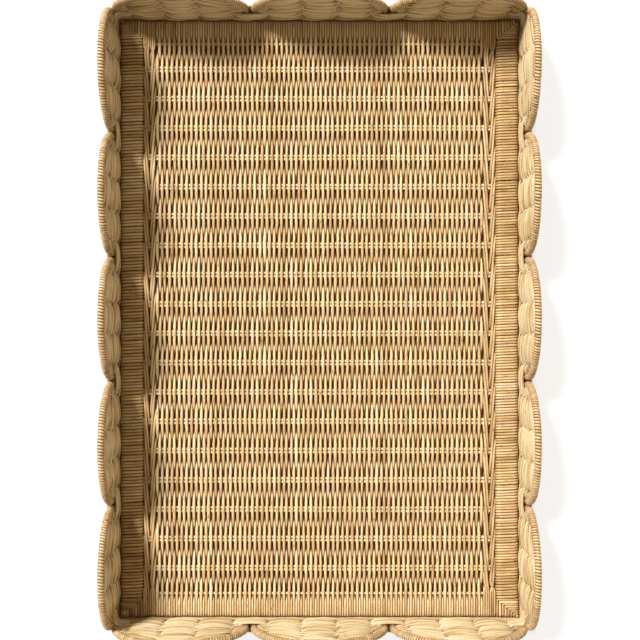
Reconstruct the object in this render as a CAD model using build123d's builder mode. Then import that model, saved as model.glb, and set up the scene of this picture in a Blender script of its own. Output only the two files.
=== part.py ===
from build123d import *
import os
from math import sqrt

# Rattan serving tray: a woven floor in a wrapped base frame, with woven walls that end in scallops.
# All sizes are in millimetres. The origin is on the surface that the tray stands on, under the
# middle of the tray. +X points to the right-hand long wall, +Y to the back wall and +Z up.

os.makedirs("parts", exist_ok=True)

# ---------------------------------------------------------------- driving dimensions

LENGTH = 603.0  # between the middles of the front and back walls
WIDTH = 405.5  # between the middles of the left and right walls
SCALLOPS = {"front": 3, "right": 5, "back": 3, "left": 5}
BAYS = 4  # stake spacings in one scallop

PEAK_Z = 96.5  # middle of the rim at the top of a scallop
WALL_SPLIT_Z = 36.0  # where the level courses end and the scallops begin
LEG_END_Z = 24.0  # how far down the rim rods reach into the wall
GAP = 0.1  # clearance between neighbouring pieces
FIT = 0.05  # clearance round a cane in its hole
LEG_FIT = 0.15  # clearance round a rim rod's leg, which starts to bend in its hole

RIM_RADIUS = 3.5  # outside of the wrap round the rim rod
ROD_RADIUS = 1.9  # the bent rod inside the rim
RIM_INSET = RIM_RADIUS + 2 * GAP  # from a notch to the middle of the rim rod's leg

STAKE_RADIUS = 2.25
POST_RADIUS = 2.5
WEAVER = 2.5  # thickness of the canes woven round the stakes
CREASE = 1.4  # half the wall's thickness midway between two stakes

RAIL_RADIUS = 5.0  # foot rail under each wall
RAIL_Z = 4.6  # middle of the foot rail; its underside is shaved flat at height 0
SOCKET_DEPTH = 5.0  # how deep the stakes stand in the foot rail

FRAME_Z = 9.0  # mid-height of the base frame, the cross ribs and the woven floor
FRAME_OUTER = 5.2  # from the middle of a wall to the outer edge of the base frame
FRAME_INNER = {"front": 23.5, "right": 27.5, "back": 23.5, "left": 27.5}
POLES = 3  # poles side by side in each length of the base frame
WRAP = 1.5  # thickness of the cane wound round the poles

RIBS = 18  # paired ribs across the floor
RIB_PITCH = 29.2
RIB_RADIUS = 1.4
RIB_SPREAD = 3.3  # between the two canes of one rib
END_RIB_Y = 273.4  # the single rib beside each end of the floor
RIB_SEAT = 22.0  # from the middle of a long wall to the end of a rib

CANES = 134  # canes along the floor, half of them in each set
CANES_SPAN = 324.8
CANE = 2.2  # width and height of a floor cane
CANE_SWING = 3.0  # how far a cane rises over a rib and sinks under the next
BRAID_CANES = 4
BRAID_PITCH = 3.1
BRAID_CANE = 2.9
BRAID_OUTER = 28.0  # from the middle of a long wall to the outer edge of an edge braid

NAIL_RADIUS = 0.8
NAIL_Z = 7.5
NAIL_TIP = 13.0  # from the middle of a wall to the point of a nail
NAIL_LENGTH = 16.9

# ---------------------------------------------------------------- derived sizes and planes

SPAN = {"front": WIDTH, "right": LENGTH, "back": WIDTH, "left": LENGTH}
NEXT_FRAME = {"front": "right", "right": "back", "back": "left", "left": "front"}
WEAVE_HALF = STAKE_RADIUS + WEAVER
LOWER_START_Z = RAIL_Z + RAIL_RADIUS + GAP
RIM_START_Z = WALL_SPLIT_Z + GAP
STAKE_FOOT_Z = RAIL_Z + RAIL_RADIUS - SOCKET_DEPTH
NOTCH_STAKE_TOP_Z = LEG_END_Z - 0.5
WELL_DEPTH = PEAK_Z + RIM_RADIUS

# Each side's working plane has x along the wall, anticlockwise seen from above, y into the tray.
SIDE_PLANES = {
    "front": Plane(origin=(0, -LENGTH / 2, 0), x_dir=(1, 0, 0), z_dir=(0, 0, 1)),
    "right": Plane(origin=(WIDTH / 2, 0, 0), x_dir=(0, 1, 0), z_dir=(0, 0, 1)),
    "back": Plane(origin=(0, LENGTH / 2, 0), x_dir=(-1, 0, 0), z_dir=(0, 0, 1)),
    "left": Plane(origin=(-WIDTH / 2, 0, 0), x_dir=(0, -1, 0), z_dir=(0, 0, 1)),
}


def upright_plane(side, along=0.0, inward=0.0):
    """A plane that faces out of the tray, with x along the wall and y up."""
    plane = SIDE_PLANES[side]
    origin = plane.from_local_coords(Vector(along, inward, 0))
    return Plane(origin=origin, x_dir=plane.x_dir, z_dir=plane.y_dir * -1)


def section_plane(side):
    """A plane across the middle of a wall, with x into the tray and y up."""
    plane = SIDE_PLANES[side]
    return Plane(origin=plane.origin, x_dir=plane.y_dir, z_dir=plane.x_dir)


def chord(side):
    """The width of one scallop."""
    return SPAN[side] / SCALLOPS[side]


def scallop_middles(side):
    """Where the middle of each scallop lies along its wall."""
    middle = (SCALLOPS[side] - 1) / 2
    return [(number - middle) * chord(side) for number in range(SCALLOPS[side])]


def stake_places(side):
    """Where each stake between the two corners lies along its wall, and whether it is at a notch."""
    bay = chord(side) / BAYS
    count = SCALLOPS[side] * BAYS
    return [(number * bay - SPAN[side] / 2, number % BAYS == 0) for number in range(1, count)]


def arch(side):
    """Radius of the rim's half circle, and the height of its centre."""
    radius = chord(side) / 2 - RIM_INSET
    return radius, PEAK_Z - radius


def leg_places(side):
    """Where the two legs of each rim rod go down into the wall."""
    return [(middle + turn * arch(side)[0], 0) for middle in scallop_middles(side) for turn in (-1, 1)]


def fill_radius(side):
    """Radius of the half circle of weave inside the rim."""
    return arch(side)[0] - RIM_RADIUS - GAP


def wall_plan(side):
    """Plan of a mitred length of wall."""
    reach = 2 * WEAVE_HALF
    end = SPAN[side] / 2 - FIT
    return [(-end - reach, -reach), (end + reach, -reach), (end - reach, reach), (reach - end, reach)]


def frame_plan(side):
    """Plan of a mitred length of the base frame."""
    outer_end = SPAN[side] / 2 - FRAME_OUTER - FIT
    inner_end = SPAN[side] / 2 - FRAME_INNER[NEXT_FRAME[side]] - FIT
    inner = FRAME_INNER[side]
    return [(-outer_end, FRAME_OUTER), (outer_end, FRAME_OUTER), (inner_end, inner), (-inner_end, inner)]


def nail_places(side):
    """Two nails for each scallop, on either side of its middle stake."""
    offset = chord(side) / BAYS / 2
    return [(middle + turn * offset, NAIL_Z) for middle in scallop_middles(side) for turn in (-1, 1)]


def rib_places():
    """Where each rib cane crosses the middle of the floor, as (y, z)."""
    first = -(RIBS - 1) / 2 * RIB_PITCH
    middles = [first + number * RIB_PITCH for number in range(RIBS)]
    pairs = [(middle + half * RIB_SPREAD / 2, FRAME_Z) for middle in middles for half in (-1, 1)]
    return [(-END_RIB_Y, FRAME_Z)] + pairs + [(END_RIB_Y, FRAME_Z)]


def cane_outline(swing):
    """Outline of a cane that passes over and under the ribs by turns, as (y, z)."""
    end = LENGTH / 2 - FRAME_INNER["front"] - GAP
    first = -(RIBS - 1) / 2 * RIB_PITCH
    crossings = [first + number * RIB_PITCH for number in range(RIBS)]
    crossings = [-END_RIB_Y] + crossings + [END_RIB_Y]
    line = [(y, FRAME_Z + swing * (-1) ** turn) for turn, y in enumerate(crossings)]
    line = [(-end, FRAME_Z)] + line + [(end, FRAME_Z)]
    upper = [(y, z + CANE / 2) for y, z in line]
    lower = [(y, z - CANE / 2) for y, z in reversed(line)]
    return upper + lower


# ---------------------------------------------------------------- foot rails

for side in SIDE_PLANES:
    with BuildPart() as foot_rail:
        with BuildSketch(section_plane(side).offset(-SPAN[side] / 2 - RAIL_RADIUS)):
            with Locations((0, RAIL_Z)):
                Circle(RAIL_RADIUS)
            with Locations((0, -RAIL_RADIUS)):
                Rectangle(2 * RAIL_RADIUS, 2 * RAIL_RADIUS, mode=Mode.SUBTRACT)
        extrude(amount=SPAN[side] + 2 * RAIL_RADIUS)
        with BuildSketch(SIDE_PLANES[side]):
            Polygon(*wall_plan(side), align=None)
        extrude(amount=WELL_DEPTH, mode=Mode.INTERSECT)
        with BuildSketch(SIDE_PLANES[side].offset(STAKE_FOOT_Z)):
            with Locations(*[(along, 0) for along, notch in stake_places(side)]):
                Circle(STAKE_RADIUS + FIT)
            with Locations((-SPAN[side] / 2, 0), (SPAN[side] / 2, 0)):
                Circle(POST_RADIUS + FIT)
        extrude(amount=SOCKET_DEPTH + RAIL_RADIUS, mode=Mode.SUBTRACT)
        with BuildSketch(upright_plane(side, inward=NAIL_TIP)):
            with Locations(*nail_places(side)):
                Circle(NAIL_RADIUS + FIT)
        extrude(amount=NAIL_TIP + RAIL_RADIUS, mode=Mode.SUBTRACT)
    foot_rail.part.label = f"foot_rail_{side}"
    export_step(foot_rail.part, f"parts/{foot_rail.part.label}.step")

# ---------------------------------------------------------------- base frame: poles and their wraps

for side in SIDE_PLANES:
    band = FRAME_INNER[side] - FRAME_OUTER
    pole_pitch = (band - 2 * WRAP) / POLES
    band_middle = FRAME_OUTER + band / 2
    on_long_side = SCALLOPS[side] == max(SCALLOPS.values())

    with BuildPart() as frame_poles:
        with BuildSketch(section_plane(side).offset(-SPAN[side] / 2)):
            with Locations((band_middle, FRAME_Z)):
                with GridLocations(pole_pitch, pole_pitch, POLES, 1):
                    Circle(pole_pitch / 2 - FIT)
        extrude(amount=SPAN[side])
        with BuildSketch(SIDE_PLANES[side]):
            Polygon(*frame_plan(side), align=None)
        extrude(amount=WELL_DEPTH, mode=Mode.INTERSECT)
        with BuildSketch(upright_plane(side, inward=NAIL_TIP + FIT)):
            with Locations(*nail_places(side)):
                Circle(NAIL_RADIUS + FIT)
        extrude(amount=NAIL_LENGTH, mode=Mode.SUBTRACT)
        if on_long_side:
            with BuildSketch(Plane.YZ.offset(RIB_SEAT - FIT - WIDTH / 2)):
                with Locations(*rib_places()):
                    Circle(RIB_RADIUS + FIT)
            extrude(amount=WIDTH - 2 * (RIB_SEAT - FIT), mode=Mode.SUBTRACT)
    frame_poles.part.label = f"frame_poles_{side}"
    export_step(frame_poles.part, f"parts/{frame_poles.part.label}.step")

    with BuildPart() as frame_wrap:
        with BuildSketch(section_plane(side).offset(-SPAN[side] / 2)):
            with Locations((band_middle, FRAME_Z)):
                SlotOverall(band, pole_pitch + 2 * WRAP)
                SlotOverall(band - 2 * WRAP, pole_pitch, mode=Mode.SUBTRACT)
        extrude(amount=SPAN[side])
        with BuildSketch(SIDE_PLANES[side]):
            Polygon(*frame_plan(side), align=None)
        extrude(amount=WELL_DEPTH, mode=Mode.INTERSECT)
        with BuildSketch(upright_plane(side, inward=NAIL_TIP)):
            with Locations(*nail_places(side)):
                Circle(NAIL_RADIUS + FIT)
        extrude(amount=NAIL_LENGTH, mode=Mode.SUBTRACT)
        if on_long_side:
            with BuildSketch(Plane.YZ.offset(RIB_SEAT - WIDTH / 2)):
                with Locations(*rib_places()):
                    Circle(RIB_RADIUS + FIT)
            extrude(amount=WIDTH - 2 * RIB_SEAT, mode=Mode.SUBTRACT)
    frame_wrap.part.label = f"frame_wrap_{side}"
    export_step(frame_wrap.part, f"parts/{frame_wrap.part.label}.step")

# ---------------------------------------------------------------- nails between rails and frame

with BuildPart() as frame_nails:
    for side in SIDE_PLANES:
        with BuildSketch(upright_plane(side, inward=NAIL_TIP)):
            with Locations(*nail_places(side)):
                Circle(NAIL_RADIUS)
        extrude(amount=NAIL_LENGTH)
frame_nails.part.label = "frame_nails"
export_step(frame_nails.part, "parts/frame_nails.step")

# ---------------------------------------------------------------- stakes and corner posts

for side in SIDE_PLANES:
    notch_stakes = [(along, 0) for along, notch in stake_places(side) if notch]
    radius, centre_z = arch(side)
    with BuildPart() as stakes:
        with BuildSketch(SIDE_PLANES[side].offset(STAKE_FOOT_Z)):
            with Locations(*notch_stakes):
                Circle(STAKE_RADIUS)
        extrude(amount=NOTCH_STAKE_TOP_Z - STAKE_FOOT_Z)
        for turn in (-1, 0, 1):
            offset = turn * chord(side) / BAYS
            reach = abs(offset) + STAKE_RADIUS
            top_z = centre_z + sqrt(fill_radius(side) ** 2 - reach**2)
            with BuildSketch(SIDE_PLANES[side].offset(STAKE_FOOT_Z)):
                with Locations(*[(middle + offset, 0) for middle in scallop_middles(side)]):
                    Circle(STAKE_RADIUS)
            extrude(amount=top_z - STAKE_FOOT_Z)
    stakes.part.label = f"stakes_{side}"
    export_step(stakes.part, f"parts/{stakes.part.label}.step")

with BuildPart() as corner_posts:
    with BuildSketch(Plane.XY.offset(STAKE_FOOT_Z)):
        with GridLocations(WIDTH, LENGTH, 2, 2):
            Circle(POST_RADIUS)
    extrude(amount=NOTCH_STAKE_TOP_Z - STAKE_FOOT_Z)
corner_posts.part.label = "corner_posts"
export_step(corner_posts.part, "parts/corner_posts.step")

# ---------------------------------------------------------------- level courses of the walls

for side in SIDE_PLANES:
    bay = chord(side) / BAYS
    bulges = [number * bay - SPAN[side] / 2 for number in range(SCALLOPS[side] * BAYS + 1)]
    with BuildPart() as lower_weave:
        with BuildSketch(SIDE_PLANES[side].offset(LOWER_START_Z)):
            with BuildLine():
                for face in (-1, 1):
                    for along in bulges:
                        ThreePointArc(
                            (along - bay / 2, face * CREASE),
                            (along, face * WEAVE_HALF),
                            (along + bay / 2, face * CREASE),
                        )
                for end in (bulges[0] - bay / 2, bulges[-1] + bay / 2):
                    Line((end, -CREASE), (end, CREASE))
            make_face()
        extrude(amount=WALL_SPLIT_Z - LOWER_START_Z)
        with BuildSketch(SIDE_PLANES[side]):
            Polygon(*wall_plan(side), align=None)
        extrude(amount=WELL_DEPTH, mode=Mode.INTERSECT)
        with BuildSketch(SIDE_PLANES[side]):
            with Locations(*[(along, 0) for along, notch in stake_places(side) if not notch]):
                Circle(STAKE_RADIUS + FIT)
        extrude(amount=WELL_DEPTH, mode=Mode.SUBTRACT)
        with BuildSketch(SIDE_PLANES[side]):
            with Locations(*[(along, 0) for along, notch in stake_places(side) if notch]):
                Circle(STAKE_RADIUS + FIT)
            with Locations((-SPAN[side] / 2, 0), (SPAN[side] / 2, 0)):
                Circle(POST_RADIUS + FIT)
        extrude(amount=NOTCH_STAKE_TOP_Z + FIT, mode=Mode.SUBTRACT)
        with BuildSketch(SIDE_PLANES[side].offset(LEG_END_Z - FIT)):
            with Locations(*leg_places(side)):
                Circle(ROD_RADIUS + LEG_FIT)
        extrude(amount=WELL_DEPTH, mode=Mode.SUBTRACT)
    lower_weave.part.label = f"lower_weave_{side}"
    export_step(lower_weave.part, f"parts/{lower_weave.part.label}.step")

# ---------------------------------------------------------------- weave inside each scallop

for side in SIDE_PLANES:
    bay = chord(side) / BAYS
    radius, centre_z = arch(side)
    for number, middle in enumerate(scallop_middles(side), start=1):
        bulges = [middle + turn * bay for turn in (-2, -1, 0, 1, 2)]
        with BuildPart() as scallop_weave:
            with BuildSketch(SIDE_PLANES[side].offset(RIM_START_Z)):
                with BuildLine():
                    for face in (-1, 1):
                        for along in bulges:
                            ThreePointArc(
                                (along - bay / 2, face * CREASE),
                                (along, face * WEAVE_HALF),
                                (along + bay / 2, face * CREASE),
                            )
                    for end in (bulges[0] - bay / 2, bulges[-1] + bay / 2):
                        Line((end, -CREASE), (end, CREASE))
                make_face()
            extrude(amount=PEAK_Z - RIM_START_Z)
            with BuildSketch(upright_plane(side, along=middle)):
                with Locations((0, centre_z)):
                    Circle(fill_radius(side))
                with Locations((0, centre_z / 2)):
                    Rectangle(2 * fill_radius(side), centre_z)
            extrude(amount=2 * WEAVE_HALF, both=True, mode=Mode.INTERSECT)
            with BuildSketch(SIDE_PLANES[side]):
                with Locations(*[(along, 0) for along in bulges[1:-1]]):
                    Circle(STAKE_RADIUS + FIT)
            extrude(amount=WELL_DEPTH, mode=Mode.SUBTRACT)
        scallop_weave.part.label = f"scallop_weave_{side}_{number}"
        export_step(scallop_weave.part, f"parts/{scallop_weave.part.label}.step")

# ---------------------------------------------------------------- rims: bent rods and their wraps

with BuildPart() as rim_cores:
    for side in SIDE_PLANES:
        radius, centre_z = arch(side)
        for middle in scallop_middles(side):
            with BuildLine(upright_plane(side, along=middle)) as rod_line:
                Line((-radius, LEG_END_Z), (-radius, centre_z))
                ThreePointArc((-radius, centre_z), (0, PEAK_Z), (radius, centre_z))
                Line((radius, centre_z), (radius, LEG_END_Z))
            with BuildSketch(SIDE_PLANES[side].offset(LEG_END_Z)):
                with Locations((middle - radius, 0)):
                    Circle(ROD_RADIUS)
            sweep(path=rod_line.wires()[0])
rim_cores.part.label = "rim_cores"
export_step(rim_cores.part, "parts/rim_cores.step")

for side in SIDE_PLANES:
    radius, centre_z = arch(side)
    for number, middle in enumerate(scallop_middles(side), start=1):
        with BuildPart() as rim_wrap:
            with BuildLine(upright_plane(side, along=middle)) as wrap_line:
                Line((-radius, LEG_END_Z), (-radius, centre_z))
                ThreePointArc((-radius, centre_z), (0, PEAK_Z), (radius, centre_z))
                Line((radius, centre_z), (radius, LEG_END_Z))
            with BuildSketch(SIDE_PLANES[side].offset(LEG_END_Z)):
                with Locations((middle - radius, 0)):
                    Circle(RIM_RADIUS)
                    Circle(ROD_RADIUS + FIT, mode=Mode.SUBTRACT)
            sweep(path=wrap_line.wires()[0])
            with BuildSketch(SIDE_PLANES[side].offset(RIM_START_Z)):
                Polygon(*wall_plan(side), align=None)
            extrude(amount=WELL_DEPTH, mode=Mode.INTERSECT)
        rim_wrap.part.label = f"rim_wrap_{side}_{number}"
        export_step(rim_wrap.part, f"parts/{rim_wrap.part.label}.step")

# ---------------------------------------------------------------- floor: ribs, canes and edge braids

with BuildPart() as cross_ribs:
    with BuildSketch(Plane.YZ.offset(RIB_SEAT - WIDTH / 2)):
        with Locations(*rib_places()):
            Circle(RIB_RADIUS)
    extrude(amount=WIDTH - 2 * RIB_SEAT)
cross_ribs.part.label = "cross_ribs"
export_step(cross_ribs.part, "parts/cross_ribs.step")

cane_pitch = CANES_SPAN / CANES
for name, swing, shift in (("a", CANE_SWING, -cane_pitch / 2), ("b", -CANE_SWING, cane_pitch / 2)):
    with BuildPart() as one_cane:
        with BuildSketch(Plane.YZ.offset(shift - CANE / 2)):
            Polygon(*cane_outline(swing), align=None)
        extrude(amount=CANE)
    with BuildPart() as floor_canes:
        with GridLocations(2 * cane_pitch, cane_pitch, CANES // 2, 1):
            add(one_cane.part)
    floor_canes.part.label = f"floor_canes_{name}"
    export_step(floor_canes.part, f"parts/{floor_canes.part.label}.step")

for side, turn in (("left", -1), ("right", 1)):
    with BuildPart() as edge_braid:
        for number in range(BRAID_CANES):
            middle = WIDTH / 2 - BRAID_OUTER - BRAID_PITCH * (number + 0.5)
            with BuildSketch(Plane.YZ.offset(turn * middle - BRAID_CANE / 2)):
                Polygon(*cane_outline(CANE_SWING * (-1) ** number), align=None)
            extrude(amount=BRAID_CANE)
    edge_braid.part.label = f"edge_braid_{side}"
    export_step(edge_braid.part, f"parts/{edge_braid.part.label}.step")
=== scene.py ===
import math

import bpy
import numpy as np
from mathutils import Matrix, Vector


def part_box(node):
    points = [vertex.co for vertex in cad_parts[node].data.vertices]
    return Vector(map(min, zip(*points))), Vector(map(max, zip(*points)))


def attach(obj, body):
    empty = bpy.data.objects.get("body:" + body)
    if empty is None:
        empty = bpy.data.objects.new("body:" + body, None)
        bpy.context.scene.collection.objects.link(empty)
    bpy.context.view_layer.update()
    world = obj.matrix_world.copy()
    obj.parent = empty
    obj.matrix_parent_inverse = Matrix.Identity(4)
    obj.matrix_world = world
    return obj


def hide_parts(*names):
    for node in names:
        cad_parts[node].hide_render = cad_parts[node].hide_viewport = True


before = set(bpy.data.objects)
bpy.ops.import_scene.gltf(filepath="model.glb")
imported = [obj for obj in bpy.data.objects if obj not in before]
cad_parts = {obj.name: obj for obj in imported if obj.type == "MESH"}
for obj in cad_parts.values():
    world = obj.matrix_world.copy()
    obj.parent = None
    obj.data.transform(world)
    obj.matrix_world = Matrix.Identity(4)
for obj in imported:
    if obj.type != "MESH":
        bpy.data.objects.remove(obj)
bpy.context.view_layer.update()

# Woven rattan serving tray. Lengths are in metres; MM turns a length in millimetres into one.
MM = 0.001
rng = np.random.default_rng(16)


def middle(node, axis):
    """Middle of a CAD node along one axis."""
    low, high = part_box(node)
    return (low[axis] + high[axis]) / 2


def half_height(node):
    low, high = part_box(node)
    return (high[2] - low[2]) / 2


# ---------------------------------------------------------------- sizes of the canes and of the weave

BAYS = 4  # stake spacings in one scallop
STAKE_RADIUS = 2.25 * MM
RIM_RADIUS = 3.5 * MM  # outside of the cane wound round a rim
RIM_INSET = 3.7 * MM  # from a notch to the middle of the rim
RIB_COUNT = 18  # paired ribs across the floor
RIB_RADIUS = 1.4 * MM
RIB_SPREAD = 3.3 * MM  # between the two canes of one rib
RIB_PITCH = 29.2 * MM
RIB_SEAT = 22 * MM  # from the middle of a long wall to the end of a rib
CANE_COUNT = 134  # canes along the floor, in two sets that take turns
CANE_HIGH = 1.2 * MM  # half the thickness of a floor cane
ON_POLE = 0.85 * MM  # from the surface of a frame pole to the middle of the cane wound on it

# ---------------------------------------------------------------- places taken from the CAD frame

WALL_X = middle("foot_rail_right", 0)  # middle of the long walls
WALL_Y = middle("foot_rail_back", 1)  # middle of the end walls
FRAME_Z = middle("cross_ribs", 2)  # mid-height of the base frame and of the floor
SPLIT_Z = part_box("lower_weave_front")[1][2]  # where the level courses end and the scallops begin
PEAK_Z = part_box("rim_wrap_front_2")[1][2] - RIM_RADIUS  # middle of the rim at the top of a scallop
COURSE_START_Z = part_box("lower_weave_front")[0][2]  # underside of the lowest course
FRAME_OUTER = WALL_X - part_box("frame_wrap_right")[1][0]  # from a wall to the frame's outer edge
INNER_LONG = WALL_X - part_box("frame_wrap_right")[0][0]  # from a long wall to its band's inner edge
INNER_END = WALL_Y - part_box("frame_wrap_back")[0][1]  # the same at the end walls
POLE_LONG = half_height("frame_poles_right")  # half the thickness of the long sides' poles
POLE_END = half_height("frame_poles_back")  # the same for the ends' poles
CANES_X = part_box("floor_canes_b")[1][0] + 0.1 * MM  # half the width of the floor canes together
END_RIB_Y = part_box("cross_ribs")[1][1] - RIB_RADIUS  # the single rib beside each end

# Each side: middle of its wall, direction along it, direction into the tray, half length, scallops.
SIDES = {
    "front": ((0, -WALL_Y), (1, 0), (0, 1), WALL_X, 3),
    "right": ((WALL_X, 0), (0, 1), (-1, 0), WALL_Y, 5),
    "back": ((0, WALL_Y), (-1, 0), (0, -1), WALL_X, 3),
    "left": ((-WALL_X, 0), (0, -1), (1, 0), WALL_Y, 5),
}


def place(side, along, inward, up):
    """Points given along a wall, into the tray and up, as points of the tray."""
    origin, run, across = (np.array(part, float) for part in SIDES[side][:3])
    along, inward, up = np.broadcast_arrays(along, inward, up)
    flat = origin + along[..., None] * run + inward[..., None] * across
    return np.concatenate([flat, up[..., None]], axis=-1)


def wobble(count, size, waves=3):
    """A smooth random drift of the given size, for hand-laid canes. More waves add quick ones."""
    at = np.linspace(0, 2 * math.pi, count)
    total = np.zeros(count)
    for wave in range(1, waves + 1):
        total += rng.normal(0, 1 / wave) * np.sin(wave * at + rng.uniform(0, 2 * math.pi))
    return total * size


def smooth_step(value):
    """0 below 0, 1 above 1, with an even curve between."""
    value = np.clip(value, 0, 1)
    return value * value * (3 - 2 * value)


# ---------------------------------------------------------------- canes gathered into meshes


def unit(vectors):
    return vectors / (np.linalg.norm(vectors, axis=1, keepdims=True) + 1e-12)


def directions(path, across, closed):
    """At each point of a path, the unit vector across it and the one at right angles to both."""
    if closed:
        run = unit(np.roll(path, -1, axis=0) - np.roll(path, 1, axis=0))
    else:
        run = unit(np.gradient(path, axis=0))
    across = np.broadcast_to(np.asarray(across, float), (len(path), 3))
    across = unit(across - (across * run).sum(1, keepdims=True) * run)
    return across, np.cross(run, across)


def tube_faces(count, sides, closed):
    """Corners of the faces of a tube with count rings, face after face, and the size of each face."""
    last = count if closed else count - 1
    first_ring = np.arange(last)[:, None] * sides
    next_ring = (np.arange(last)[:, None] + 1) % count * sides
    corner = np.arange(sides)[None]
    step = (corner + 1) % sides
    quads = [first_ring + corner, first_ring + step, next_ring + step, next_ring + corner]
    corners, sizes = [np.stack(quads, axis=-1).reshape(-1)], [np.full(last * sides, 4)]
    if not closed:
        corners += [np.arange(sides)[::-1], (count - 1) * sides + np.arange(sides)]
        sizes.append(np.full(2, sides))
    return np.concatenate(corners), np.concatenate(sizes)


class Canes:
    """Many canes in one mesh.

    Each point keeps its cane's tone, its place on the cane (grain) and how much painted shade
    darkens it there: in crevices, deep in the weave and along its edges.
    """

    def __init__(self):
        self.points, self.loops, self.sizes = [], [], []
        self.grain, self.tone, self.crevice_shade = [], [], []
        self.total = 0

    def add(
        self, path, across, wide, high, sides=8, closed=False, tone=None, sunk=0.0, below=None, edge=0.75
    ):
        """One cane along a path: an oval, wide in the direction across and high at right angles.

        wide and high are half sizes. sunk says how much painted shade darkens the upper face of each
        place, from 0 on top of the weave to 1 deep in it where shade falls, below says the same for its
        lower face, and edge says how much painted shade lies along its two edges, which turn from the
        light.
        """
        path = np.asarray(path, float)
        count = len(path)
        across, normal = directions(path, across, closed)
        turn = (np.arange(sides) + 0.5) * 2 * math.pi / sides
        side_step = np.broadcast_to(wide, count)[:, None] * np.cos(turn)
        high_step = np.broadcast_to(high, count)[:, None] * np.sin(turn)
        ring = path[:, None] + side_step[..., None] * across[:, None]
        ring = ring + high_step[..., None] * normal[:, None]
        steps = np.linalg.norm(np.diff(path, axis=0), axis=1)
        distance = np.concatenate([[0], np.cumsum(steps)]) + rng.uniform(0, 5)
        distance = np.broadcast_to(distance[:, None], side_step.shape)
        grain = np.stack([distance, side_step, high_step], axis=-1)
        tone = rng.normal(0.5, 0.2) if tone is None else tone
        corners, sizes = tube_faces(count, sides, closed)
        self.loops.append(corners + self.total)
        self.sizes.append(sizes)
        self.points.append(ring.reshape(-1, 3))
        self.grain.append(grain.reshape(-1, 3))
        self.tone.append(np.repeat(np.broadcast_to(np.clip(tone, 0, 1), count), sides))
        below = sunk if below is None else below
        upper_face = ring[..., 2] > path[:, None, 2]
        sunk, below, edge = (np.broadcast_to(share, count)[:, None] for share in (sunk, below, edge))
        # Painted shade: darker along the cane's two edges, where it turns from the light, and on faces
        # that lie deep in the weave, where shade falls.
        on_edge = smooth_step((np.abs(np.cos(turn)) - 0.3) / 0.65) * edge
        crevice_shade = 1 - (1 - on_edge) * (1 - np.where(upper_face, sunk, below))
        self.crevice_shade.append(crevice_shade.reshape(-1))
        self.total += count * sides

    def build(self, name, material, slot, *nodes):
        """The finished piece, which stands for the CAD nodes named."""
        mesh = bpy.data.meshes.new(name)
        loops, sizes = np.concatenate(self.loops), np.concatenate(self.sizes)
        mesh.vertices.add(self.total)
        mesh.vertices.foreach_set("co", np.concatenate(self.points).astype(np.float32).ravel())
        mesh.loops.add(len(loops))
        mesh.loops.foreach_set("vertex_index", loops.astype(np.int32))
        mesh.polygons.add(len(sizes))
        starts = np.concatenate([[0], np.cumsum(sizes)[:-1]])
        mesh.polygons.foreach_set("loop_start", starts.astype(np.int32))
        mesh.update(calc_edges=True)
        mesh.validate()
        grain = mesh.attributes.new("grain", "FLOAT_VECTOR", "POINT")
        grain.data.foreach_set("vector", np.concatenate(self.grain).astype(np.float32).ravel())
        for title, values in (("tone", self.tone), ("crevice_shade", self.crevice_shade)):
            layer = mesh.attributes.new(title, "FLOAT", "POINT")
            layer.data.foreach_set("value", np.concatenate(values).astype(np.float32))
        mesh.shade_smooth()
        mesh.materials.append(material)
        piece = bpy.data.objects.new(name, mesh)
        bpy.context.scene.collection.objects.link(piece)
        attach(piece, "root")
        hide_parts(*nodes)


# ---------------------------------------------------------------- materials


def new_material(name):
    """A new material, with its node tree and its shader."""
    material = bpy.data.materials.new(name)
    material.use_nodes = True
    return material, material.node_tree, material.node_tree.nodes["Principled BSDF"]


def link(tree, start, end):
    tree.links.new(start, end)


def object_place(tree):
    return tree.nodes.new("ShaderNodeTexCoord").outputs["Object"]


def texture_at(tree, kind, vector, scale):
    """A texture node read at a vector that is first stretched by scale."""
    stretch = tree.nodes.new("ShaderNodeVectorMath")
    stretch.operation = "MULTIPLY"
    stretch.inputs[1].default_value = scale
    link(tree, vector, stretch.inputs[0])
    texture = tree.nodes.new(kind)
    texture.inputs["Scale"].default_value = 1.0
    link(tree, stretch.outputs[0], texture.inputs["Vector"])
    return texture


def noise(tree, vector, scale, detail=2.0):
    """Soft noise from 0 to 1, read at a stretched vector."""
    texture = texture_at(tree, "ShaderNodeTexNoise", vector, scale)
    texture.inputs["Detail"].default_value = detail
    return texture.outputs["Fac"]


def ramp(tree, value, stops):
    """A colour ramp with the given (place, colour) stops."""
    node = tree.nodes.new("ShaderNodeValToRGB")
    elements = node.color_ramp.elements
    while len(elements) < len(stops):
        elements.new(0.5)
    for element, (at, colour) in zip(elements, stops):
        element.position = at
        element.color = (*colour, 1)
    link(tree, value, node.inputs[0])
    return node.outputs[0]


def maths(tree, operation, first, second=0.0):
    """The result of one arithmetic step. Each input is a socket or a number."""
    node = tree.nodes.new("ShaderNodeMath")
    node.operation = operation
    for socket, value in zip(node.inputs, (first, second)):
        if isinstance(value, (int, float)):
            socket.default_value = value
        else:
            link(tree, value, socket)
    return node.outputs[0]


def mix(tree, amount, first, second, blend="MIX"):
    """Two colours mixed by an amount. Each input is a socket or a fixed value."""
    node = tree.nodes.new("ShaderNodeMix")
    node.data_type = "RGBA"
    node.blend_type = blend
    for socket, value in ((node.inputs[0], amount), (node.inputs[6], first), (node.inputs[7], second)):
        if isinstance(value, (int, float)):
            socket.default_value = value
        elif isinstance(value, tuple):
            socket.default_value = (*value, 1)
        else:
            link(tree, value, socket)
    return node.outputs[2]


def mesh_value(tree, name, output):
    """A value that the meshes of canes hold at each point."""
    node = tree.nodes.new("ShaderNodeAttribute")
    node.attribute_name = name
    return node.outputs[output]


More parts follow.
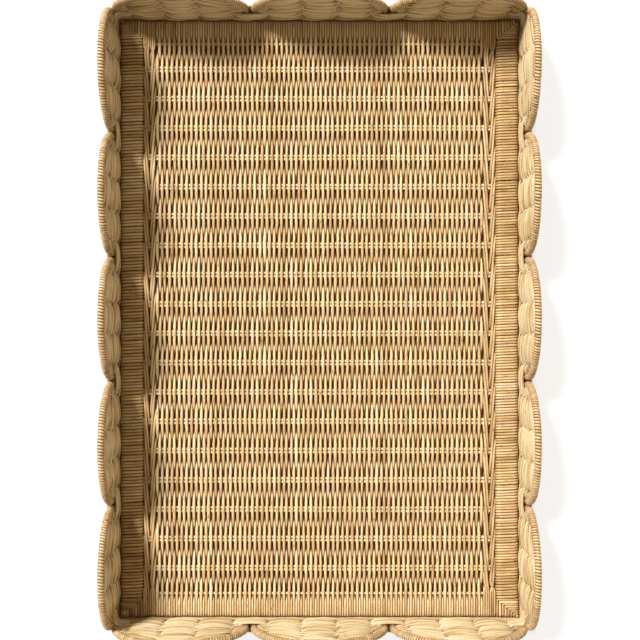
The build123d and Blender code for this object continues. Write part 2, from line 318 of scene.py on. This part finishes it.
BLACK, WHITE = (0, 0, 0), (1, 1, 1)
STAIN_BROWN = (0.22, 0.085, 0.022)
KNOT_BROWN = (0.1, 0.04, 0.012)
# Brown of the painted shade in crevices, deep in the weave and along the canes' edges.
PAINTED_SHADE_BROWN = (0.26, 0.13, 0.05)
YELLOWISH, PINKISH = (1.0, 1.0, 0.86), (1.0, 0.95, 0.93)
STREAK_DEPTH = 0.7
FIBRE_RELIEF = 0.12 * MM


def tinted(tree, base_tone, colour):
    """The colour turned a little yellow or a little pink, by a quick wave over the cane's tone."""
    pick = maths(tree, "SINE", maths(tree, "MULTIPLY", base_tone, 90.0))
    pick = maths(tree, "ADD", maths(tree, "MULTIPLY", pick, 0.5), 0.5)
    return mix(tree, 1.0, colour, mix(tree, pick, YELLOWISH, PINKISH), "MULTIPLY")


def streaked(tree, fibre, colour, mid):
    """The colour with dark streaks where the fibre noise is low."""
    streaks = maths(tree, "MULTIPLY", maths(tree, "SUBTRACT", 0.62, fibre), STREAK_DEPTH)
    streaks = maths(tree, "MAXIMUM", streaks, 0.0)
    return mix(tree, streaks, colour, tuple(0.35 * part for part in mid))


def stained(tree, vector, scale, colour, stain):
    """The colour with long brown stains."""
    spots = ramp(tree, noise(tree, vector, scale, 3), ((0.66, BLACK), (0.76, WHITE)))
    return mix(tree, maths(tree, "MULTIPLY", spots, stain), colour, STAIN_BROWN)


def knotted(tree, vector, scale, colour):
    """The colour with a small dark knot in the middle of each bright cell of the texture."""
    cells = texture_at(tree, "ShaderNodeTexVoronoi", vector, scale)
    near = ramp(tree, cells.outputs["Distance"], ((0.1, WHITE), (0.22, BLACK)))
    chosen = ramp(tree, cells.outputs["Color"], ((0.72, BLACK), (0.74, WHITE)))
    return mix(tree, maths(tree, "MULTIPLY", near, chosen), colour, KNOT_BROWN)


def cane_material(name, dark, mid, pale, stain=0.5, axis=None):
    """Rattan: a tone for each cane, streaks along it, brown stains and a fine fibre bump.

    With an axis given, the fibre runs along that axis of the tray instead of along each cane.
    """
    material, tree, shader = new_material(name)

    def stretched(along, over):
        return tuple(along if number == (axis or 0) else over for number in range(3))

    if axis is None:
        vector = mesh_value(tree, "grain", "Vector")
        base_tone = mesh_value(tree, "tone", "Fac")
    else:
        vector = object_place(tree)
        base_tone = noise(tree, vector, (20, 20, 20))
    slow = noise(tree, vector, stretched(45, 120), 3)
    fibre = noise(tree, vector, stretched(110, 2600), 4)
    drift = maths(tree, "MULTIPLY", maths(tree, "SUBTRACT", slow, 0.5), 0.9)
    colour = ramp(tree, maths(tree, "ADD", base_tone, drift), ((0.05, dark), (0.45, mid), (0.9, pale)))
    colour = tinted(tree, base_tone, colour)
    colour = streaked(tree, fibre, colour, mid)
    colour = stained(tree, vector, stretched(55, 300), colour, stain)
    colour = knotted(tree, vector, stretched(100, 420), colour)
    if axis is None:
        # Painted shade: each mesh's share of shade darkens the colour toward brown.
        colour = mix(tree, mesh_value(tree, "crevice_shade", "Fac"), colour, PAINTED_SHADE_BROWN, "MULTIPLY")
    link(tree, colour, shader.inputs["Base Color"])
    roughness = maths(tree, "ADD", maths(tree, "MULTIPLY", fibre, 0.25), 0.3)
    link(tree, roughness, shader.inputs["Roughness"])
    relief = tree.nodes.new("ShaderNodeBump")
    relief.inputs["Strength"].default_value = 0.6
    relief.inputs["Distance"].default_value = FIBRE_RELIEF
    link(tree, fibre, relief.inputs["Height"])
    link(tree, relief.outputs["Normal"], shader.inputs["Normal"])
    return material


def nail_material():
    """Drawn steel wire with fine scratches."""
    material, tree, shader = new_material("nail_steel")
    shader.inputs["Metallic"].default_value = 1.0
    scratch = noise(tree, object_place(tree), (900, 900, 900), 3)
    shade = ramp(tree, scratch, ((0.3, (0.35, 0.34, 0.33)), (0.7, (0.6, 0.6, 0.6))))
    link(tree, shade, shader.inputs["Base Color"])
    roughness = maths(tree, "ADD", maths(tree, "MULTIPLY", scratch, 0.3), 0.25)
    link(tree, roughness, shader.inputs["Roughness"])
    return material


floor_cane = cane_material("floor_cane", (0.36, 0.2, 0.075), (0.66, 0.47, 0.235), (0.88, 0.73, 0.49))
wrap_cane = cane_material("wrap_cane", (0.32, 0.165, 0.06), (0.59, 0.4, 0.18), (0.86, 0.69, 0.44))
wall_cane = cane_material("wall_cane", (0.5, 0.34, 0.13), (0.85, 0.71, 0.43), (0.93, 0.84, 0.63), 0.45)
POLE_TONES = (0.3, 0.18, 0.075), (0.5, 0.35, 0.17), (0.66, 0.5, 0.29)
rattan_poles = [cane_material(f"rattan_pole_{'xyz'[axis]}", *POLE_TONES, axis=axis) for axis in range(3)]
nail_steel = nail_material()

# ---------------------------------------------------------------- floor: canes, ribs and edge braids

rib_middles = (np.arange(RIB_COUNT) - (RIB_COUNT - 1) / 2) * RIB_PITCH
crossings = np.concatenate([[-END_RIB_Y], rib_middles, [END_RIB_Y]])
BAND_EDGE = WALL_Y - INNER_END  # inner edge of the end bands
BAND_TURN_Y = WALL_Y - FRAME_OUTER - POLE_END - 1.5 * MM  # middle of the round outer edge
ON_BAND = POLE_END + 0.95 * MM  # from mid-height of the frame to the middle of a cane on the band
BAND_TOP_START = 3.5 * MM  # from the band's inner edge to where a cane lies level on its top
BAND_END = 1 * MM  # from the band's inner edge to where a cane stops below it
OVER_RIB = 1.2 * MM  # from the surface of a rib to the middle of a cane that passes over it


def end_band_line(end):
    """The line of a cane that turns round the end band, from under it to its top, as (y, z)."""
    turn = np.linspace(-math.pi / 2, math.pi / 2, 7)
    round_edge = BAND_TURN_Y + ON_BAND * np.cos(turn)
    y = np.concatenate([[BAND_EDGE + BAND_END], round_edge, [BAND_EDGE + BAND_TOP_START]])
    z = np.concatenate([[FRAME_Z - ON_BAND], FRAME_Z + ON_BAND * np.sin(turn), [FRAME_Z + ON_BAND]])
    return end * y, z


front_y, front_z = end_band_line(-1)
back_y, back_z = end_band_line(1)


def woven_height(y, swing, start_sign):
    """Height of a cane that goes over and under the crossings by turns."""
    turn = np.interp(y, crossings, np.arange(len(crossings)))
    wave = np.cos(math.pi * turn)
    return FRAME_Z + swing * start_sign * np.sign(wave) * np.abs(wave) ** 0.75


def hidden_faces(z):
    """How deep the upper and the lower faces of a floor cane lie in the weave, as shares of painted
    shade.
    """
    upper = smooth_step((FRAME_Z + 0.5 * MM - z) / (2 * MM))
    lower = smooth_step((z - FRAME_Z + 0.5 * MM) / (2 * MM))
    return upper, lower


def floor_canes(first_sign):
    """One set of floor canes: those that start over, or under, the front end rib."""
    canes = Canes()
    pitch = 2 * CANES_X / CANE_COUNT
    spans = zip(crossings[:-1], crossings[1:])
    weave_y = np.concatenate([np.linspace(a, b, 8, endpoint=False) for a, b in spans] + [[crossings[-1]]])
    y = np.concatenate([front_y, weave_y, back_y[::-1]])
    on_weave = (np.abs(y) <= END_RIB_Y) & (np.arange(len(y)) >= len(front_y))
    high = np.where(on_weave, CANE_HIGH, 1.0 * MM)
    drift = np.where(on_weave, 1.0, 0.3)
    # Painted shade along the canes' edges: light on the weave, heavier where they turn round the end
    # bands.
    edge = np.where(on_weave, 0.3, 0.8)
    for number in range(0 if first_sign > 0 else 1, CANE_COUNT, 2):
        middle_x = -CANES_X + (number + 0.5) * pitch
        swing = RIB_RADIUS + OVER_RIB + rng.normal(0, 0.1) * MM
        z = np.concatenate([front_z, woven_height(weave_y, swing, first_sign), back_z[::-1]])
        bold = rng.normal(1.0, 0.05) + wobble(len(y), 0.03, 12)
        swell = np.where(z > FRAME_Z, 0.45, 0.35) * smooth_step(np.abs(z - FRAME_Z) / swing)
        wide = np.where(on_weave, (1.15 + swell) * bold, 1.2) * MM
        x = middle_x + (wobble(len(y), 0.15 * MM) + rng.normal(0, 0.1, len(y)) * MM) * drift
        tone = rng.normal(0.52, 0.08) + wobble(len(y), 0.08, 24)
        # Painted shade on the faces that lie deep in the weave, where the canes above shade them.
        sunk, below = (np.where(on_weave, hidden, 0) for hidden in hidden_faces(z))
        path = np.stack([x, y, z], axis=1)
        canes.add(path, (1, 0, 0), wide, high, tone=tone, sunk=sunk, below=below, edge=edge)
    return canes


floor_canes(1).build("floor_canes_over_front_rib", floor_cane, "floor_cane", "floor_canes_a")
floor_canes(-1).build("floor_canes_under_front_rib", floor_cane, "floor_cane", "floor_canes_b")


def cross_ribs():
    """Pairs of thin canes across the floor, and a single one beside each end."""
    canes = Canes()
    steps = 60
    x = np.linspace(RIB_SEAT - WALL_X, WALL_X - RIB_SEAT, steps)
    pairs = [at + half * RIB_SPREAD / 2 for at in rib_middles for half in (-1, 1)]
    for at in [-END_RIB_Y] + pairs + [END_RIB_Y]:
        y = at + wobble(steps, 0.12 * MM)
        z = FRAME_Z + wobble(steps, 0.05 * MM)
        tone = rng.normal(0.95, 0.05)
        path = np.stack([x, y, z], axis=1)
        # A little painted shade along the ribs' edges.
        canes.add(path, (0, 1, 0), RIB_RADIUS, RIB_RADIUS, sides=10, tone=tone, edge=0.2)
    return canes


cross_ribs().build("floor_cross_ribs", floor_cane, "floor_cane", "cross_ribs")


BRAID_CANES = 3  # in each of the two rows of a braid
BRAID_SWING = RIB_RADIUS + OVER_RIB
BRAID_OVER = 0.7  # share of its round in which a braided cane lies over the ribs
BRAID_MARGIN = 1.4 * MM  # how much less than its row's width a braided cane travels sideways


def braid_line(phase, row_wide):
    """How far to the side and how high a braided cane lies at each phase of its three-rib round."""
    over = phase < BRAID_OVER
    share = np.where(over, phase / BRAID_OVER, (phase - BRAID_OVER) / (1 - BRAID_OVER))
    z = FRAME_Z + np.where(over, 1, -1) * BRAID_SWING * np.sin(math.pi * share) ** 0.7
    return np.where(over, share - 0.5, 0.5 - share) * (row_wide - BRAID_MARGIN), z


def edge_braid(side):
    """Two rows of three canes twisted over two ribs and under one, leaning opposite ways."""
    canes = Canes()
    zone = WALL_X - INNER_LONG - CANES_X
    row_wide = zone / 2
    turn = np.linspace(-0.9, RIB_COUNT - 0.1, int((RIB_COUNT + 0.8) * 9))
    weave_y = rib_middles[-1] - turn * RIB_PITCH
    at_end = smooth_step((np.abs(weave_y) - (END_RIB_Y - 12 * MM)) / (10 * MM))
    inside = np.abs(weave_y) < BAND_EDGE + 2 * MM
    y = np.concatenate([back_y, weave_y[inside], front_y[::-1]])
    for row, lean in ((0, 1), (1, -1)):
        row_middle = side * (CANES_X + zone / 2) - lean * row_wide / 2
        for number in range(BRAID_CANES):
            phase = (turn / 3 + number / 3 + 0.12 * row) % 1.0
            across, z = braid_line(phase, row_wide)
            spread = row_middle + (number - 1) / 3 * row_wide
            x = (row_middle + lean * across) * (1 - at_end) + spread * at_end
            z = z * (1 - at_end) + (FRAME_Z + ON_BAND) * at_end
            x, z = x[inside], z[inside]
            x = np.concatenate([np.full(len(back_y), x[0]), x, np.full(len(front_y), x[-1])])
            z = np.concatenate([back_z, z, front_z[::-1]])
            x = x + wobble(len(y), 0.1 * MM)
            on_weave = (np.abs(y) < BAND_EDGE) & (np.abs(z - FRAME_Z) < BRAID_SWING + 0.1 * MM)
            wide = np.where(on_weave, 1.2 + 0.3 * smooth_step((z - FRAME_Z) / BRAID_SWING), 1.1) * MM
            # Painted shade on the braided canes' faces that lie deep in the weave, and heavy painted
            # shade along their edges.
            sunk, below = (np.where(on_weave, hidden, 0) for hidden in hidden_faces(z))
            tone = rng.normal(0.36, 0.07) + wobble(len(y), 0.08, 20)
            path = np.stack([x, y, z], axis=1)
            canes.add(path, (1, 0, 0), wide, CANE_HIGH, tone=tone, sunk=sunk, below=below, edge=0.8)
    return canes


edge_braid(-1).build("left_edge_braid", floor_cane, "floor_cane", "edge_braid_left")
edge_braid(1).build("right_edge_braid", floor_cane, "floor_cane", "edge_braid_right")

# ---------------------------------------------------------------- wraps of the base frame


def long_band_loop():
    """Closed line round a long band, as (inward, up), for a cane that lies on its poles."""
    radius = POLE_LONG + ON_POLE
    outer_turn = FRAME_OUTER + radius + 0.3 * MM
    inner_turn = INNER_LONG - radius - 0.3 * MM
    turn = np.linspace(-math.pi / 2, math.pi / 2, 6)
    flat = np.linspace(outer_turn, inner_turn, 5)[1:-1]
    inner_edge, outer_edge = inner_turn + radius * np.cos(turn), outer_turn - radius * np.cos(turn)
    inward = np.concatenate([inner_edge, flat[::-1], outer_edge, flat])
    level = np.full(len(flat), radius)
    up = np.concatenate([radius * np.sin(turn), level, -radius * np.sin(turn), -level])
    return inward, FRAME_Z + up


def long_band(side, pitch):
    """Cane wound round the poles of a long side in one helix."""
    canes = Canes()
    inward, up = long_band_loop()
    per_turn = len(inward)
    half = WALL_Y - INNER_END - 0.8 * MM
    turns = int(round(2 * half / pitch))
    along = np.linspace(-half, half, turns * per_turn)
    tone = np.repeat(rng.normal(0.5, 0.1, turns) + wobble(turns, 0.09, 9), per_turn)
    shift = np.repeat(rng.normal(0, 0.16, turns), per_turn) * MM
    lift = np.repeat(rng.normal(0, 0.08, turns), per_turn) * MM
    points = place(side, along + shift, np.tile(inward, turns), np.tile(up, turns))
    points[:, 2] += lift * np.sign(points[:, 2] - FRAME_Z)
    run = np.append(SIDES[side][1], 0)
    # The turns take the default painted shade along their edges, which darkens the creases between them.
    canes.add(points, run, pitch * 0.49, 0.95 * MM, tone=tone)
    return canes


long_band("left", 3.15 * MM).build("left_band_wrap", wrap_cane, "wrap_cane", "frame_wrap_left")
long_band("right", 2.75 * MM).build("right_band_wrap", wrap_cane, "wrap_cane", "frame_wrap_right")


CORNER_LOOPS = 8


def corner_loops(canes, turn_x, turn_y):
    """Nested L-shaped loops of cane that fill a mitred corner of the frame.

    Each loop runs over the long side's poles, turns the corner, runs over the end's poles, goes round
    their outer edge and comes back below the same way.
    """
    rise_long, rise_end = POLE_LONG + ON_POLE, POLE_END + ON_POLE
    start_long, start_end = FRAME_OUTER + rise_long, FRAME_OUTER + rise_end
    turn = np.linspace(math.pi / 2, -math.pi / 2, 6)[1:-1]
    rise = np.concatenate([np.full(3, rise_long), [(rise_long + rise_end) / 2], np.full(3, rise_end)])
    up = np.concatenate([rise, rise_end * np.sin(turn), -rise[::-1], rise_long * np.sin(turn)[::-1]])
    diagonal = np.array([-turn_x, -turn_y, 0.0])
    for number in range(CORNER_LOOPS):
        share = (number + 0.5) / CORNER_LOOPS
        long_edge = FRAME_OUTER + (INNER_LONG - FRAME_OUTER) * share
        end_edge = FRAME_OUTER + (INNER_END - FRAME_OUTER) * share
        leg_long = np.linspace(min(start_long, long_edge), long_edge, 4)[:-1]
        leg_end = np.linspace(end_edge, min(start_end, end_edge), 4)[1:]
        from_long = np.concatenate([leg_long, np.full(4, long_edge)])
        from_end = np.concatenate([np.full(4, end_edge), leg_end])
        round_end = start_end - rise_end * np.cos(turn)
        round_long = (start_long - rise_long * np.cos(turn))[::-1]
        from_long = np.concatenate([from_long, np.full(4, long_edge), from_long[::-1], round_long])
        from_end = np.concatenate([from_end, round_end, from_end[::-1], np.full(4, end_edge)])
        x, y = turn_x * (WALL_X - from_long), turn_y * (WALL_Y - from_end)
        # The loops take the default painted shade along their edges, which darkens the creases between
        # them.
        canes.add(np.stack([x, y, FRAME_Z + up], axis=1), diagonal, 1.35 * MM, ON_POLE, closed=True)


for end, turn_y in (("front", -1), ("back", 1)):
    corners = Canes()
    for turn_x in (-1, 1):
        corner_loops(corners, turn_x, turn_y)
    corners.build(f"{end}_corner_wraps", wrap_cane, "wrap_cane", f"frame_wrap_{end}")

# ---------------------------------------------------------------- walls

STAKE_REACH = STAKE_RADIUS + 1.95 * MM  # from the middle of the wall to the middle of a weaver
LOW_REACH = STAKE_RADIUS + 1.05 * MM  # the same beside the base frame, where there is less room
RIM_REACH = STAKE_RADIUS + 0.4 * MM  # the same just under a rim
LEAN_IN = 0.7 * MM  # how far the courses above the base frame swell over it
COURSE = 2.2 * MM  # height of one course
CORNER = 6 * MM  # how far the walls' middle line is rounded at the corners
WEAVER_THICK = 1.1 * MM  # half the thickness of a weaver
TWIST = 0.5 * MM  # how far the two weavers of a course part in height where they cross
UNEVEN = 0.14 * MM  # how far a weaver strays from its line
UP = (0, 0, 1)


def wall_line(turn):
    """Middle line of the four walls at a number of bays from the front left corner."""
    points, normals = np.zeros((len(turn), 2)), np.zeros((len(turn), 2))
    start = 0
    for side, (origin, run, inward, half, scallops) in SIDES.items():
        bays = scallops * BAYS
        here = (turn >= start) & (turn <= start + bays)
        along = -half + (turn[here] - start) / bays * 2 * half
        near = np.clip(np.abs(along) - (half - CORNER), 0, CORNER) / CORNER
        inset = CORNER * 0.29 * near**2
        angle = near * math.pi / 4 * np.sign(along)
        run, inward = np.array(run), np.array(inward)
        points[here] = np.array(origin) + along[:, None] * run + inset[:, None] * inward
        points[here] -= (inset * np.sign(along))[:, None] * run
        normals[here] = np.cos(angle)[:, None] * inward - np.sin(angle)[:, None] * run
        start += bays
    return points, normals


def bays_from_corner(turn):
    """How many bays each place of the walls' middle line is from the nearest corner."""
    corners = np.cumsum([0] + [data[4] * BAYS for data in SIDES.values()])
    return np.min(np.abs(turn[:, None] - corners), axis=1)


def around_stakes(turn, lag):
    """To which side of the stakes a weaver lies, from 1 to -1: it crosses over between stakes."""
    swing = np.cos(math.pi * turn + lag)
    crossing = np.clip(np.abs(swing) / 0.3, 0, 1)
    return np.sign(swing) * crossing * (0.5 + 0.5 * np.abs(swing))


def weaver_height(turn):
    """Half the height of a weaver: full at each stake and least where it crosses between stakes."""
    return (0.86 + 0.26 * np.abs(np.cos(math.pi * turn)) ** 0.6) * MM


def level_courses():
    """The level courses: pairs of canes that cross between the stakes, all the way round.

    Returns the even and the odd courses, counted from below.
    """
    total = sum(data[4] for data in SIDES.values()) * BAYS
    steps = 8
    turn = np.arange(total * steps) / steps
    middle_line, normals = wall_line(turn)
    in_corner = smooth_step(1.6 - bays_from_corner(turn) / 0.7)
    count = int((SPLIT_Z + 2 * MM - COURSE_START_Z) / COURSE)
    canes = [Canes(), Canes()]
    for course in range(count):
        height = COURSE_START_Z + (course + 0.5) * COURSE + 0.3 * MM
        above_frame = height > FRAME_Z + POLE_LONG + 3 * MM
        free, lean = (STAKE_REACH, LEAN_IN) if above_frame else (LOW_REACH, 0)
        lag = rng.normal(0, 0.2)
        for twin in (1, -1):
            reach = (free + wobble(len(turn), UNEVEN, 60)) * twin * around_stakes(turn, lag)
            reach = np.where(reach > 0, reach * (1 - 0.45 * in_corner), reach) + lean * (1 - in_corner)
            rise = TWIST * twin * np.sin(math.pi * turn) + wobble(len(turn), 0.12 * MM, 60)
            flat = middle_line + reach[:, None] * normals
            points = np.concatenate([flat, (height + rise)[:, None]], axis=1)
            tone = rng.normal(0.5, 0.27) + wobble(len(turn), 0.14, 60)
            tall = weaver_height(turn)
            half = canes[course % 2]
            # Painted shade along the weavers' edges, where they turn from the light.
            half.add(points, UP, tall, WEAVER_THICK, sides=6, closed=True, tone=tone, edge=0.55)
    return canes


even, odd = level_courses()
even.build("level_courses_even", wall_cane, "wall_cane", "lower_weave_front", "lower_weave_back")
odd.build("level_courses_odd", wall_cane, "wall_cane", "lower_weave_left", "lower_weave_right")


def rim_circle(side):
    """Radius of the rim's circle on one side, and the height of its centre."""
    half, scallops = SIDES[side][3:]
    radius = half / scallops - RIM_INSET
    return radius, PEAK_Z - radius


def scallop_middle(side, number):
    """How far along its side the middle of a scallop is."""
    half, scallops = SIDES[side][3:]
    return (number - (scallops - 1) / 2) * 2 * half / scallops


def scallop_courses(side, number):
    """The curved courses that fill one scallop from the level courses up to its rim."""
    canes = Canes()
    half, scallops = SIDES[side][3:]
    radius, centre_z = rim_circle(side)
    count = int((PEAK_Z - RIM_RADIUS - SPLIT_Z) / COURSE)
    end = radius - 0.5 * MM
    along = np.concatenate([[-end], np.linspace(-end * 0.995, end * 0.995, 45), [end]])
    inside = radius - RIM_RADIUS * 0.7
    arch = np.sqrt(np.clip(inside**2 - along**2, 0, None))
    top = np.maximum(centre_z + arch, SPLIT_Z + 2 * MM)
    start = SPLIT_Z + 0.4 * MM
    room = (top - start) / count / COURSE  # height left for each course, as a share of a full one
    fade = 1 - np.clip(np.abs(along) / end, 0, 1) ** 14
    turn = along / (2 * half / scallops / BAYS)
    tall = weaver_height(turn) * np.clip(room, 0.12, 1.1)
    thick = WEAVER_THICK * np.clip(room, 0.45, 1)
    for course in range(count):
        share = (course + 0.5) / count
        height = start + (top - start) * share
        lag = rng.normal(0, 0.2)
        free = STAKE_REACH + (RIM_REACH - STAKE_REACH) * share
        for twin in (1, -1):
            reach = (free + wobble(len(along), UNEVEN, 8)) * twin * around_stakes(turn, lag) * fade
            reach = reach + LEAN_IN * (1 - share) * fade
            rise = TWIST * twin * np.sin(math.pi * turn) + wobble(len(along), UNEVEN, 8)
            rise = rise * np.clip(room, 0, 1)
            points = place(side, scallop_middle(side, number) + along, reach, height + rise)
            tone = rng.normal(0.5, 0.28) + wobble(len(along), 0.14, 8)
            # Painted shade along the weavers' edges, where they turn from the light.
            canes.add(points, UP, tall, thick, sides=6, tone=tone, edge=0.55)
    return canes


def rim_line(side):
    """Length of a rim from foot to foot, and a function that gives places on it.

    The function takes how far each place is from the first foot, and returns how far along the
    side and how high it is, and the angle at which the rim faces outwards there.
    """
    radius, centre_z = rim_circle(side)
    leg = max(centre_z - SPLIT_Z, 0)
    skip = math.asin(max(SPLIT_Z - centre_z, 0) / radius)
    arc = radius * (math.pi - 2 * skip)

    def at(travel):
        angle = math.pi - skip - np.clip(travel - leg, 0, arc) / radius
        below = np.clip(leg - travel, 0, None) + np.clip(travel - leg - arc, 0, None)
        return radius * np.cos(angle), centre_z + radius * np.sin(angle) - below, angle

    return arc + 2 * leg, at


def rim_wrap(side, number):
    """Cane wound round the rim rod of one scallop, from one foot to the other."""
    canes = Canes()
    pitch, per_turn, half_thick = 2.85 * MM, 12, 0.8 * MM
    length, rim_at = rim_line(side)
    turns = int(round(length / pitch))
    travel = np.linspace(0, length, turns * per_turn + 1)
    along, up, angle = rim_at(travel)
    spin = np.arange(len(travel)) / per_turn * 2 * math.pi
    uneven = np.repeat(rng.normal(0, 0.06, turns + 1), per_turn)[: len(travel)] * MM
    radius = RIM_RADIUS - half_thick + uneven
    outward = radius * np.cos(spin)
    along_wall = scallop_middle(side, number) + along + outward * np.cos(angle)
    points = place(side, along_wall, radius * np.sin(spin), up + outward * np.sin(angle))
    side_run = np.append(SIDES[side][1], 0)
    run = -np.sin(angle)[:, None] * side_run + np.cos(angle)[:, None] * np.array(UP)
    tone = np.repeat(rng.normal(0.68, 0.12, turns + 1), per_turn)[: len(travel)]
    # Painted shade on each rim's feet, fading out 14 mm above where the scallops begin, and along the
    # edges of its turns.
    sunk = 0.7 * smooth_step((SPLIT_Z + 14 * MM - up) / (14 * MM))
    canes.add(points, run, pitch * 0.5, half_thick, sides=6, tone=tone, sunk=sunk, edge=0.8)
    return canes


for side in SIDES:
    for number in range(SIDES[side][4]):
        name = f"{side}_{number + 1}"
        fill = scallop_courses(side, number)
        fill.build(f"scallop_courses_{name}", wall_cane, "wall_cane", f"scallop_weave_{name}")
        wrap = rim_wrap(side, number)
        wrap.build(f"rim_winding_{name}", wrap_cane, "wrap_cane", f"rim_wrap_{name}")

# ---------------------------------------------------------------- CAD nodes that stay as they are

REPLACED = (
    "floor_canes",
    "edge_braid",
    "cross_ribs",
    "frame_wrap",
    "lower_weave",
    "scallop_weave",
    "rim_wrap",
)


def kept_node_material(name):
    """The material of a CAD node that stays: nails are steel, and poles have the fibre along them."""
    if name == "frame_nails":
        return nail_steel
    if name.startswith(("stakes", "corner_posts", "rim_cores")):
        return rattan_poles[2]
    return rattan_poles[1 if name.endswith(("left", "right")) else 0]


for name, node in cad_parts.items():
    if not name.startswith(REPLACED):
        node.data.materials.clear()
        node.data.materials.append(kept_node_material(name))

# ---------------------------------------------------------------- floor, light and camera


def studio_floor():
    """A table top, faintly mottled, that glows to a plain white, except under the tray, where its own
    dark grey is left as painted shade.
    """
    mesh = bpy.data.meshes.new("studio_floor")
    reach = 40.0
    corners = [(-reach, -reach, 0), (reach, -reach, 0), (reach, reach, 0), (-reach, reach, 0)]
    mesh.from_pydata(corners, [], [(0, 1, 2, 3)])
    ground = bpy.data.objects.new("studio_floor", mesh)
    bpy.context.scene.collection.objects.link(ground)
    material, tree, shader = new_material("studio_floor")
    vector = object_place(tree)
    mottle = noise(tree, vector, (3, 3, 3))
    shade = ramp(tree, mottle, ((0.3, (0.29, 0.285, 0.28)), (0.7, (0.31, 0.305, 0.3))))
    link(tree, shade, shader.inputs["Base Color"])
    shader.inputs["Roughness"].default_value = 0.8
    shader.inputs["Emission Color"].default_value = (1, 1, 1, 1)
    xyz = tree.nodes.new("ShaderNodeSeparateXYZ")
    link(tree, vector, xyz.inputs[0])
    # No glow under the tray: the dark grey base colour there is painted shade.
    outside = []
    for axis, half in ((0, WALL_X), (1, WALL_Y)):
        beyond = maths(tree, "SUBTRACT", maths(tree, "ABSOLUTE", xyz.outputs[axis]), half - 10 * MM)
        outside.append(maths(tree, "DIVIDE", beyond, 25 * MM))
    glow = ramp(tree, maths(tree, "MAXIMUM", *outside), ((0.0, BLACK), (1.0, (0.78, 0.78, 0.78))))
    link(tree, glow, shader.inputs["Emission Strength"])
    mesh.materials.append(material)


def key_light():
    """A soft sun from the back left."""
    elevation, azimuth, spread = 54, 135, 13
    lamp = bpy.data.lights.new("key", "SUN")
    lamp.energy = 4.9
    lamp.angle = math.radians(spread)
    lamp.color = (1.0, 0.98, 0.965)
    key = bpy.data.objects.new("key", lamp)
    key.rotation_euler = (0, math.radians(90 - elevation), math.radians(azimuth))
    bpy.context.scene.collection.objects.link(key)


def fill_light():
    """A world that is white at the horizon and dimmer and warmer above."""
    world = bpy.data.worlds.new("studio")
    world.use_nodes = True
    tree = world.node_tree
    direction = tree.nodes.new("ShaderNodeSeparateXYZ")
    link(tree, tree.nodes.new("ShaderNodeTexCoord").outputs["Generated"], direction.inputs[0])
    sky = ramp(tree, direction.outputs[2], ((0.04, (0.95, 0.94, 0.92)), (0.3, (0.43, 0.375, 0.3))))
    link(tree, sky, tree.nodes["Background"].inputs["Color"])
    bpy.context.scene.world = world


def overhead_camera():
    """Straight above the tray, with the back wall at the top of the picture."""
    lens = bpy.data.cameras.new("camera")
    lens.sensor_width = 36
    lens.lens = 69.6
    lens.clip_start = 0.05
    camera = bpy.data.objects.new("camera", lens)
    camera.location = (0.0005, -0.0013, 1.242)
    bpy.context.scene.collection.objects.link(camera)
    bpy.context.scene.camera = camera


studio_floor()
key_light()
fill_light()
overhead_camera()
bpy.context.scene.view_settings.view_transform = "Standard"
